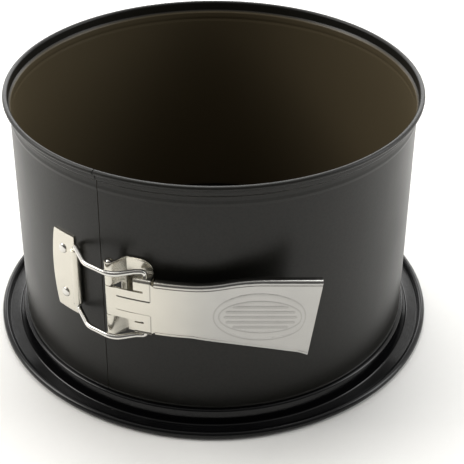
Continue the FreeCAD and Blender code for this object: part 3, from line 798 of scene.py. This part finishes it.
class SPRINGFORM_OT_hinge_plate(bpy.types.Operator):
    """Bends the hinge plate: a strip on the wall, a leg that stands off and two knuckles"""

    bl_idname = "springform.hinge_plate"
    bl_label = "Hinge plate and pin"

    # In degrees: the leg's lean, how far along the wall the plate reaches, and the knuckles' roll.
    lean = 64.0
    edge = 10.3
    turn = 285.0
    half_height = 18.3 * MM
    slot_half = 7.3 * MM
    slot_reach = 4.7 * MM
    corner = 5.5 * MM
    bend = 1.2 * MM

    def strip(self, sizes):
        """The plate's middle line from above, and where the knuckles' leg ends."""
        radius = plate_radius(sizes)
        roll = knuckle_radius(sizes)
        leg_heading = math.radians(PIN_AZIMUTH + self.lean)
        way = Vector((math.cos(leg_heading), math.sin(leg_heading)))
        outward = leg_heading - math.pi / 2
        tangent = PIN + Vector((math.cos(outward), math.sin(outward))) * roll
        # Where the leg's line meets the plate's circle.
        dot = tangent.dot(way)
        reach = -dot - math.sqrt(dot * dot - tangent.length_squared + radius * radius)
        junction = tangent + way * reach
        wall_way = Vector((junction.y, -junction.x)).normalized()
        half = (-wall_way).angle(-way) / 2
        setback = self.bend / math.tan(half)
        start, end = junction - wall_way * setback, junction - way * setback
        centre = junction - (wall_way + way).normalized() * (self.bend / math.sin(half))
        strip = Strip()
        strip.arc(
            Vector((0, 0)), radius, heading(PIN_AZIMUTH + self.edge), heading(azimuth_of(start))
        )
        first = math.atan2(*(start - centre).yx)
        last = math.atan2(*(end - centre).yx)
        turn = math.remainder(last - first, 2 * math.pi)
        strip.arc(centre, self.bend, first, first + turn)
        strip.line(end, tangent)
        strip.arc(PIN, roll, outward, outward - math.radians(self.turn))
        return strip

    def execute(self, context):
        sizes = context.scene.springform_latch
        strip = self.strip(sizes)
        joints = strip.joints()
        slot_from = joints[3] - self.slot_reach
        columns = merged(
            spaced(0, self.corner, 0.35 * MM),
            spaced(self.corner, joints[1], 1 * MM),
            spaced(joints[1], joints[2], 0.25 * MM),
            [slot_from],
            spaced(joints[3], strip.length, 0.3 * MM),
        )
        slot = self.slot_half / self.half_height
        rows = merged(spaced(-1, 1, 0.1), [-slot, slot])

        def place(along, share):
            point, _ = strip.at(along)
            inset = max(0, self.corner - along)
            trim = self.corner - math.sqrt(max(0, self.corner**2 - inset**2))
            height = share * (self.half_height - trim)
            return Vector((point.x, point.y, LATCH_Z + height))

        def keep(along, share):
            return along < slot_from or abs(share) * self.half_height > self.slot_half

        piece = sheet_grid("hinge_plate_bent", columns, rows, place, keep)
        thicken(piece, sizes.gauge, sizes.edge_round)
        plating = finish_named("zinc_plating_on_rolled_strip", bright_plating)
        finish_piece(piece, "ring", "bright_zinc", plating, "hinge_plate")
        self.pin(sizes)
        return {"FINISHED"}

    def pin(self, sizes):
        """The hinge pin, with peened ends."""
        low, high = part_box("hinge_pin")
        radius = (high.x - low.x) / 2
        dome = 0.5 * MM
        outline = [
            Vector((0, low.z)),
            Vector((radius * 0.6, low.z + dome * 0.2)),
            Vector((radius, low.z + dome)),
            Vector((radius, high.z - dome)),
            Vector((radius * 0.6, high.z - dome * 0.2)),
            Vector((0, high.z)),
        ]
        mesh = turned("hinge_pin_peened", outline, pitch=10)
        mesh.transform(Matrix.Translation(PIN.to_3d()))
        piece = add_piece("hinge_pin_peened", mesh)
        wire = finish_named("plated_wire_drawn", drawn_wire)
        finish_piece(piece, "ring", "rivet_steel", wire, "hinge_pin")


# ---------------------------------------------------------------- lever


class SPRINGFORM_OT_lever(bpy.types.Operator):
    """Presses the lever: tongue, ears for the bail and the flared handle with its relief"""

    bl_idname = "springform.lever"
    bl_label = "Lever"

    # In degrees: how far the tongue is rolled, and where the ears, the sunk panel and the rib lie.
    turn = 285.0
    ear_left = -18.9
    ear_right = -14.2
    panel_left = -24.2
    rib_left = -23.6
    # Half heights of the tongue and the neck, and the slits between the tongue and the ears.
    tongue = 7.0 * MM
    slit = 1.0 * MM
    slit_reach = 4.0 * MM
    neck = 12.6 * MM
    grip_top = 15.6 * MM
    grip_foot = 19.9 * MM
    flare_start = -9.0 * MM
    flare_end = 20.0 * MM
    slant = 4.9 * MM
    slant_from = 34.0 * MM
    ear_wider = 0.4 * MM
    notch = 0.7 * MM
    ear_depth = 5.2 * MM
    flange_depth = 2.6 * MM
    fold = 1.1 * MM
    recess = 0.35 * MM
    rib_half = 3.2 * MM
    crease_in = 0.35 * MM
    crease_deep = 0.2 * MM
    # The thumb grip: its middle, half its height, how much smaller the inner oval is, its ribs.
    oval_middle = 18.5 * MM
    oval_level = -1.1 * MM
    oval_half = 11.0 * MM
    inner_shorter = 2.1 * MM
    inner_lower = 3.6 * MM
    ribs = 5
    # From here to here along the straight run, the grid is fine enough for the grip's lines.
    fine_from = -1.5 * MM
    fine_to = 37.5 * MM

    def strip(self, sizes):
        """The lever's middle line from above, from the tip of its curl to the handle's end."""
        roll = knuckle_radius(sizes)
        self.web = PIN.length + roll
        outward = heading(PIN_AZIMUTH)
        strip = Strip()
        strip.arc(PIN, roll, outward - math.radians(self.turn), outward)
        strip.arc(Vector((0, 0)), self.web, outward, heading(0))
        strip.line(Vector((0, -self.web)), Vector((HANDLE_END, -self.web)))
        return strip

    def along(self, azimuth):
        """How far along the strip an azimuth of the curved web lies."""
        return self.bend_from + math.radians(azimuth - PIN_AZIMUTH) * self.web

    def reach_up(self, along, side):
        """How far the web reaches above (side 1) or below (-1) the latch, up to its fold."""
        x = along - self.straight_from
        if along < self.ear_to:
            outer = self.neck + self.ear_wider
        elif side > 0:
            share = min(1, max(0, (x - self.flare_start) / (self.flare_end - self.flare_start)))
            ease = 2 * share * share if share < 0.5 else 1 - 2 * (1 - share) ** 2
            outer = self.neck + (self.grip_top - self.neck) * ease
        else:
            share = max(0, (x - self.flare_start) / (HANDLE_END - self.slant - self.flare_start))
            outer = self.neck + (self.grip_foot - self.neck) * share
        return outer - self.fold

    def level(self, along, height):
        """How far the pressing moves the web outwards, in metres."""
        sizes = self.sizes
        x = along - self.straight_from
        # The tongue and the ears lie lower than the handle and the rib that runs out of it.
        panel = smooth((self.ear_to - 0.4 * MM - along) / (0.7 * MM))
        panel *= smooth((along - self.along(self.panel_left)) / (1.5 * MM))
        rib = smooth((self.rib_half + 0.4 * MM - abs(height)) / (0.8 * MM))
        rib *= smooth((along - self.along(self.rib_left)) / (0.8 * MM))
        lift = -self.recess * panel * (1 - rib)
        # A crease follows the folded edge of the handle.
        if along > self.ear_to:
            crease = self.reach_up(along, 1 if height > 0 else -1) - self.crease_in
            lift -= self.crease_deep * ridge(abs(height) - crease, 0.55 * MM)
        for distance in self.grip_lines(x, height):
            lift += sizes.relief * ridge(distance, 0.6 * MM)
        return lift

    def grip_lines(self, x, height):
        """How far a point lies from the two ovals and the nearest rib of the thumb grip."""
        dx, dz = x - self.oval_middle, height - self.oval_level
        sizes = self.sizes
        outer = oval_distance(dx, dz, sizes.oval, self.oval_half)
        inner_long, inner_half = sizes.oval - self.inner_shorter, self.oval_half - self.inner_lower
        inner = oval_distance(dx, dz, inner_long, inner_half)
        pitch = 2 * inner_half / (self.ribs + 1)
        near = max(-(self.ribs // 2), min(self.ribs // 2, round(dz / pitch))) * pitch
        rib_half = (inner_long - 2.2 * MM) * math.sqrt(1 - (near / inner_half) ** 2)
        rib = math.hypot(dz - near, max(0, abs(dx) - rib_half))
        return outer, inner, rib

    def crease_shade(self, along, row):
        """How much painted shade darkens the plating: along the grip's lines, the end of the
        recess and the fold.
        """
        if abs(row) > 1:
            return 0.0
        height = row * self.reach_up(along, 1 if row > 0 else -1)
        x = along - self.straight_from
        flank = 0.35 * MM
        # Painted shade along the flanks of the grip's lines, and in the crease at the end of the
        # recess.
        line_shade = max(ridge(distance - flank, 0.5 * MM) for distance in self.grip_lines(x, height))
        stop = 0.85 * ridge(along - self.ear_to + 0.9 * MM, 0.4 * MM)
        return max(0.28 * line_shade, stop * smooth((abs(height) - self.rib_half) / (0.5 * MM)))

    def place(self, along, row):
        """Where a point of the sheet's grid lies: |row| to 1 is the web, to 2 the fold, to 3 the
        flange."""
        side = 1 if row > 0 else -1
        half = self.reach_up(along, side)
        size = abs(row)
        height = min(size, 1) * half
        inward = 0.0
        if size > 1:
            turn = min(size - 1, 1) * math.pi / 2
            height = half + self.fold * math.sin(turn)
            inward = self.fold * (1 - math.cos(turn))
        if size > 2:
            depth = self.ear_depth if along < self.ear_to else self.flange_depth
            inward += (size - 2) * (depth - self.fold)
        lift = self.level(along, side * height) if size <= 1 else 0.0
        point, outward = self.line.at(along)
        point = point + outward * (lift - inward)
        x = point.x
        if x > self.slant_from:
            cut = self.slant * (self.grip_top - side * height) / (self.grip_top + self.grip_foot)
            x -= cut * (x - self.slant_from) / (HANDLE_END - self.slant_from)
        return Vector((x, point.y, LATCH_Z + side * height))

    def keep(self, along, row):
        """Whether the sheet covers a cell of the grid."""
        size = abs(row)
        height = size * self.reach_up(along, 1 if row > 0 else -1)
        if along < self.ear_from:
            return height < self.tongue
        if along < self.ear_from + self.slit_reach:
            return height < self.tongue or height > self.tongue + self.slit
        if self.ear_to - self.notch < along < self.ear_to + self.notch:
            return size < 1
        return True

    def execute(self, context):
        sizes = self.sizes = context.scene.springform_latch
        self.line = self.strip(sizes)
        joints = self.line.joints()
        self.bend_from, self.straight_from = joints[1], joints[2]
        self.ear_from = self.along(self.ear_left)
        self.ear_to = self.along(self.ear_right)
        columns = merged(
            spaced(0, joints[1], 0.3 * MM),
            spaced(joints[1], self.ear_from, 0.35 * MM),
            spaced(self.ear_from, self.ear_from + self.slit_reach, 0.35 * MM),
            spaced(self.ear_from + self.slit_reach, self.ear_to - self.notch, 0.35 * MM),
            spaced(self.ear_to - self.notch, self.ear_to + self.notch, 0.35 * MM),
            spaced(self.ear_to + self.notch, joints[2] + self.fine_from, 1.0 * MM),
            spaced(joints[2] + self.fine_from, joints[2] + self.fine_to, 0.25 * MM),
            spaced(joints[2] + self.fine_to, self.line.length, 0.6 * MM),
        )
        ear_half = self.neck + self.ear_wider - self.fold
        marks = [self.tongue / ear_half, (self.tongue + self.slit) / ear_half]
        web = merged(spaced(-1, 1, 1 / 64), marks, [-mark for mark in marks])
        edge = [1.2, 1.4, 1.6, 1.8, 2.0, 2.5, 3.0]
        rows = [-value for value in reversed(edge)] + web + edge
        piece = sheet_grid("lever_pressed", columns, rows, self.place, self.keep, self.crease_shade)
        thicken(piece, sizes.gauge, sizes.edge_round)
        plating = finish_named("zinc_plating_on_rolled_strip", bright_plating)
        finish_piece(piece, "lever", "bright_zinc", plating, "lever")
        return {"FINISHED"}


def oval_distance(x, y, a, b):
    """About how far a point lies from an oval with half axes a and b."""
    level = math.hypot(x / a, y / b)
    steep = math.hypot(x / (a * a), y / (b * b))
    return (level - 1) * level / steep if steep > 0 else -b


# ---------------------------------------------------------------- bail


def open_tree(name, inputs):
    """A geometry tree with these named inputs, and the sockets that bring them."""
    tree = bpy.data.node_groups.new(name, "GeometryNodeTree")
    face = tree.interface
    face.new_socket("Geometry", in_out="OUTPUT", socket_type="NodeSocketGeometry")
    for label, kind in inputs.items():
        face.new_socket(label, in_out="INPUT", socket_type=f"NodeSocket{kind}")
    return tree, add_node(tree, "NodeGroupInput").outputs


def close_tree(tree, geometry, finish):
    """Makes the geometry real, gives it its finish and sends it out of the tree."""
    real = add_node(tree, "GeometryNodeRealizeInstances", {"Geometry": geometry})
    inputs = {"Geometry": real.outputs["Geometry"], "Material": finish}
    coated = add_node(tree, "GeometryNodeSetMaterial", inputs)
    add_node(tree, "NodeGroupOutput", {"Geometry": coated.outputs["Geometry"]})
    return tree


def wire_tree(name):
    """A node tree that rounds the bends of a line and gives it a round section."""
    inputs = {"Line": "Geometry", "Wire diameter": "Float", "Finish": "Material"}
    tree, given = open_tree(name, inputs)
    half = add_node(
        tree, "ShaderNodeMath", {0: given["Wire diameter"], 1: 0.5}, operation="MULTIPLY"
    )
    bend = add_node(tree, "GeometryNodeInputRadius").outputs["Radius"]
    rounding = {"Curve": given["Line"], "Radius": bend, "Count": 10}
    rounded = add_node(tree, "GeometryNodeFilletCurve", rounding, mode="POLY")
    circle = {"Resolution": 20, "Radius": half.outputs["Value"]}
    section = add_node(tree, "GeometryNodeCurvePrimitiveCircle", circle)
    level = {"Curve": rounded.outputs["Curve"], "Radius": 1.0}
    plain = add_node(tree, "GeometryNodeSetCurveRadius", level)
    sweep = {
        "Curve": plain.outputs["Curve"],
        "Profile Curve": section.outputs["Curve"],
        "Fill Caps": True,
    }
    tube = add_node(tree, "GeometryNodeCurveToMesh", sweep)
    return close_tree(tree, tube.outputs["Mesh"], given["Finish"])


def run_tree(piece, tree, values):
    """Runs a node tree on a piece with these inputs and returns the mesh it makes."""
    modifier = piece.modifiers.new(tree.name, "NODES")
    modifier.node_group = tree
    for item in tree.interface.items_tree:
        if item.in_out == "INPUT" and item.name in values:
            modifier[item.identifier] = values[item.name]
    bpy.context.view_layer.update()
    graph = bpy.context.evaluated_depsgraph_get()
    mesh = bpy.data.meshes.new_from_object(piece.evaluated_get(graph))
    if not mesh.polygons:
        raise RuntimeError(f"{tree.name} made nothing for {piece.name}")
    bpy.data.objects.remove(piece)
    crisp(mesh)
    return mesh


def bent_wire(name, points, bends, diameter, material):
    """A wire through the points, bent to a radius at each inner one."""
    curve = bpy.data.curves.new(name + "_line", "CURVE")
    curve.dimensions = "3D"
    spline = curve.splines.new("POLY")
    spline.points.add(len(points) - 1)
    for item, point, bend in zip(spline.points, points, [0, *bends, 0]):
        item.co = (*point, 1)
        item.radius = bend
    line = bpy.data.objects.new(name + "_line", curve)
    bpy.context.scene.collection.objects.link(line)
    tree = bpy.data.node_groups.get("Bent wire") or wire_tree("Bent wire")
    mesh = run_tree(line, tree, {"Wire diameter": diameter, "Finish": material})
    return add_piece(name, mesh)


class SPRINGFORM_OT_bail(bpy.types.Operator):
    """Bends the bail: the leg in the keeper's eye and the two arms to the lever's ears"""

    bl_idname = "springform.bail"
    bl_label = "Bail wire"

    # Waypoints between the eye and the ear: azimuth, distance outside the wall.
    route = ((-31.0, 9.4 * MM), (-23.4, 11.6 * MM), (-18.9, 6.2 * MM))
    arm = 15.6 * MM
    leg = 13.5 * MM
    stub = 12.0 * MM
    bends = (2.05 * MM, 8 * MM, 8 * MM, 4 * MM, 1.5 * MM)

    def execute(self, context):
        sizes = context.scene.springform_latch
        material = finish_named("plated_wire_drawn", drawn_wire)
        for name, side in (("bail_upper_arm", 1), ("bail_lower_arm", -1)):
            level = LATCH_Z + side * self.arm
            points = [
                Vector((*EYE, LATCH_Z + side * (self.leg + 0.04 * MM))),
                Vector((*EYE, level)),
            ]
            for azimuth, offset in self.route:
                angle = math.radians(azimuth)
                way = Vector((math.sin(angle), -math.cos(angle)))
                points.append(Vector((*(way * (WALL_OUTSIDE + offset)), level)))
            points.append(Vector((*EAR, level)))
            points.append(Vector((*EAR, LATCH_Z + side * self.stub)))
            wire = bent_wire(name + "_wire", points, self.bends, sizes.wire, material)
            finish_piece(wire, "bail", "drawn_wire", material, name)
        ends = [Vector((*EYE, LATCH_Z + side * self.leg)) for side in (-1, 1)]
        points = [ends[0], ends[0].lerp(ends[1], 0.5), ends[1]]
        wire = bent_wire("bail_leg_wire", points, (0.0,), sizes.wire, material)
        finish_piece(wire, "ring_left", "drawn_wire", material, "bail_leg")
        return {"FINISHED"}


# ---------------------------------------------------------------- rivets


def rivet_tree(name):
    """A node tree that sets a column of copies of one rivet."""
    inputs = {
        "Holder": "Geometry",
        "Rivet": "Object",
        "Count": "Int",
        "Lowest": "Vector",
        "Spacing": "Vector",
        "Facing": "Vector",
        "Finish": "Material",
    }
    tree, given = open_tree(name, inputs)
    places = {
        "Count": given["Count"],
        "Start Location": given["Lowest"],
        "Offset": given["Spacing"],
    }
    column = add_node(tree, "GeometryNodeMeshLine", places)
    rivet = add_node(tree, "GeometryNodeObjectInfo", {"Object": given["Rivet"]})
    facing = add_node(
        tree, "FunctionNodeAlignRotationToVector", {"Vector": given["Facing"]}, axis="Z"
    )
    copies = {
        "Points": column.outputs["Mesh"],
        "Instance": rivet.outputs["Geometry"],
        "Rotation": facing.outputs["Rotation"],
    }
    set_out = add_node(tree, "GeometryNodeInstanceOnPoints", copies)
    return close_tree(tree, set_out.outputs["Instances"], given["Finish"])


class SPRINGFORM_OT_rivets(bpy.types.Operator):
    """Sets the round-headed rivets of the keeper plate and of the hinge plate"""

    bl_idname = "springform.rivets"
    bl_label = "Rivets"

    def rivet(self, sizes):
        """One rivet along +Z: flat head inside the wall, shank, and the domed head outside."""
        flat_head, shank, chamfer = 0.4 * MM, 1.5 * MM, 0.2 * MM
        brim, dome, sunk = 0.15 * MM, 0.85 * MM, 0.03 * MM
        inside = WALL_INSIDE
        low = inside - flat_head
        outside = plate_radius(sizes) + sizes.gauge / 2 - sunk
        head = sizes.rivet_head / 2
        outline = [
            Vector((0, low)),
            Vector((head - chamfer, low)),
            Vector((head, low + chamfer)),
            Vector((head, inside)),
            Vector((shank, inside)),
            Vector((shank, outside)),
            Vector((head, outside)),
            Vector((head, outside + brim)),
        ]
        steps = 7
        for i in range(1, steps + 1):
            angle = math.pi / 2 * i / steps
            rise = outside + brim + dome * math.sin(angle)
            outline.append(Vector((head * math.cos(angle), rise)))
        return turned("rivet_pattern", outline, pitch=10)

    def execute(self, context):
        sizes = context.scene.springform_latch
        pattern = add_piece("rivet_pattern", self.rivet(sizes))
        tree = rivet_tree("Rivet column")
        steel = finish_named("plated_wire_drawn", drawn_wire)
        for bracket, body in (("keeper", "ring_left"), ("hinge", "ring")):
            upper, lower = middle(f"{bracket}_rivet_upper"), middle(f"{bracket}_rivet_lower")
            facing = Vector((upper.x, upper.y, 0)).normalized()
            holder = add_piece(f"{bracket}_rivet_holder", bpy.data.meshes.new("empty"))
            values = {
                "Rivet": pattern,
                "Count": 2,
                "Lowest": Vector((0, 0, lower.z)),
                "Spacing": Vector((0, 0, upper.z - lower.z)),
                "Facing": facing,
                "Finish": steel,
            }
            mesh = run_tree(holder, tree, values)
            piece = add_piece(f"{bracket}_rivets", mesh)
            names = [f"{bracket}_rivet_{level}" for level in ("upper", "lower")]
            finish_piece(piece, body, "rivet_steel", steel, *names)
        bpy.data.objects.remove(pattern)
        return {"FINISHED"}


# ---------------------------------------------------------------- stage


class SPRINGFORM_OT_stage(bpy.types.Operator):
    """Sets the floor, the soft light and the camera"""

    bl_idname = "springform.stage"
    bl_label = "Stage"

    def floor(self):
        """A wide pale floor."""
        half = 6.0
        mesh = bpy.data.meshes.new("floor")
        corners = [(-half, -half, 0), (half, -half, 0), (half, half, 0), (-half, half, 0)]
        mesh.from_pydata(corners, [], [(0, 1, 2, 3)])
        piece = add_piece("floor", mesh)
        piece.data.materials.append(finish_named("matt_board_painted", pale_floor))
        piece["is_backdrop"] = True

    def softbox(self, name, place, size, power, tint, aim=(0, 0, 0.06)):
        """An area light that faces the pan."""
        light = bpy.data.lights.new(name, "AREA")
        light.shape = "RECTANGLE"
        light.size, light.size_y = size
        light.energy = power
        light.color = tint
        lamp = bpy.data.objects.new(name, light)
        lamp.location = place
        lamp.rotation_euler = (Vector(aim) - Vector(place)).to_track_quat("-Z", "Y").to_euler()
        bpy.context.scene.collection.objects.link(lamp)

    def world(self):
        """A light tent: pale behind and beside the pan, dimmer towards its open front."""
        world = bpy.data.worlds.new("light_tent")
        world.use_nodes = True
        tree = world.node_tree
        tree.nodes.clear()
        way = add_node(tree, "ShaderNodeTexCoord").outputs["Generated"]
        split = add_node(tree, "ShaderNodeSeparateXYZ", {"Vector": way})
        # The tent's open front is behind the first of these directions, its full glow past the
        # second.
        front, full = -0.75, 0.35
        glow = remap(tree, split.outputs["Y"], front, full, 0.12, 0.95, "SMOOTHSTEP")
        shade = add_node(
            tree,
            "ShaderNodeBackground",
            {"Color": (1.0, 0.99, 0.97, 1), "Strength": glow},
        )
        add_node(tree, "ShaderNodeOutputWorld", {"Surface": shade.outputs["Background"]})
        bpy.context.scene.world = world

    def camera(self):
        """A long lens from the front, above the rim, with the pan left of and above the middle."""
        lens = bpy.data.cameras.new("camera")
        lens.sensor_width = 36
        lens.lens = 89.47
        lens.shift_x, lens.shift_y = 0.0396, -0.1767
        camera = bpy.data.objects.new("camera", lens)
        # Metres from the point looked at, radians downwards, and that point's height.
        distance, pitch, aim = 0.53216, 0.514, 0.08166
        camera.location = (0, -distance * math.cos(pitch), aim + distance * math.sin(pitch))
        camera.rotation_euler = (math.pi / 2 - pitch, 0, 0)
        bpy.context.scene.collection.objects.link(camera)
        bpy.context.scene.camera = camera

    def execute(self, context):
        self.floor()
        self.world()
        # Place, width and height in metres, watts, and tint.
        self.softbox("key", (-1.1, 0.1, 0.9), (0.7, 0.7), 10, (1, 0.98, 0.95))
        self.softbox("fill", (1.2, 0.0, 0.7), (0.5, 0.9), 6, (0.97, 0.99, 1))
        self.softbox("top", (0.0, 0.5, 1.3), (0.9, 0.9), 9, (1, 1, 1))
        self.softbox("back", (0.0, 2.0, 0.97), (3.4, 0.7), 28, (1, 1, 1))
        self.camera()
        context.scene.view_settings.view_transform = "Standard"
        return {"FINISHED"}


# ---------------------------------------------------------------- panel and registration


class SPRINGFORM_PT_panel(bpy.types.Panel):
    """Lists the pieces and their settings"""

    bl_idname = "SPRINGFORM_PT_panel"
    bl_label = "Springform pan"
    bl_space_type = "VIEW_3D"
    bl_region_type = "UI"
    bl_category = "Springform"

    def draw(self, context):
        for operator in OPERATORS:
            self.layout.operator(operator.bl_idname)
        for name in SETTINGS:
            box = self.layout.box()
            group = getattr(context.scene, name)
            for item in group.bl_rna.properties:
                if not item.is_readonly and item.identifier != "name":
                    box.prop(group, item.identifier)


SETTINGS = {
    "springform_sheet": SheetSettings,
    "springform_latch": LatchSettings,
    "springform_finish": FinishSettings,
}
OPERATORS = (
    SPRINGFORM_OT_stage,
    SPRINGFORM_OT_base_plate,
    SPRINGFORM_OT_ring,
    SPRINGFORM_OT_keeper_plate,
    SPRINGFORM_OT_hinge_plate,
    SPRINGFORM_OT_lever,
    SPRINGFORM_OT_bail,
    SPRINGFORM_OT_rivets,
)


def register():
    """Registers the classes and the settings."""
    for kind in (*SETTINGS.values(), *OPERATORS, SPRINGFORM_PT_panel):
        bpy.utils.register_class(kind)
    for name, kind in SETTINGS.items():
        setattr(bpy.types.Scene, name, bpy.props.PointerProperty(type=kind))


def unregister():
    """Takes the settings and the classes away."""
    for name in SETTINGS:
        delattr(bpy.types.Scene, name)
    for kind in (SPRINGFORM_PT_panel, *reversed(OPERATORS), *reversed(SETTINGS.values())):
        bpy.utils.unregister_class(kind)


def main():
    """Makes every piece, then measures the boxes of the CAD model and of the visual model."""
    register()
    for operator in OPERATORS:
        group, name = operator.bl_idname.split(".")
        getattr(getattr(bpy.ops, group), name)()
    boxes = {"cad": cad_box, "visual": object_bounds()}
    plain = {name: [list(corner) for corner in box] for name, box in boxes.items()}


if __name__ == "__main__":
    main()
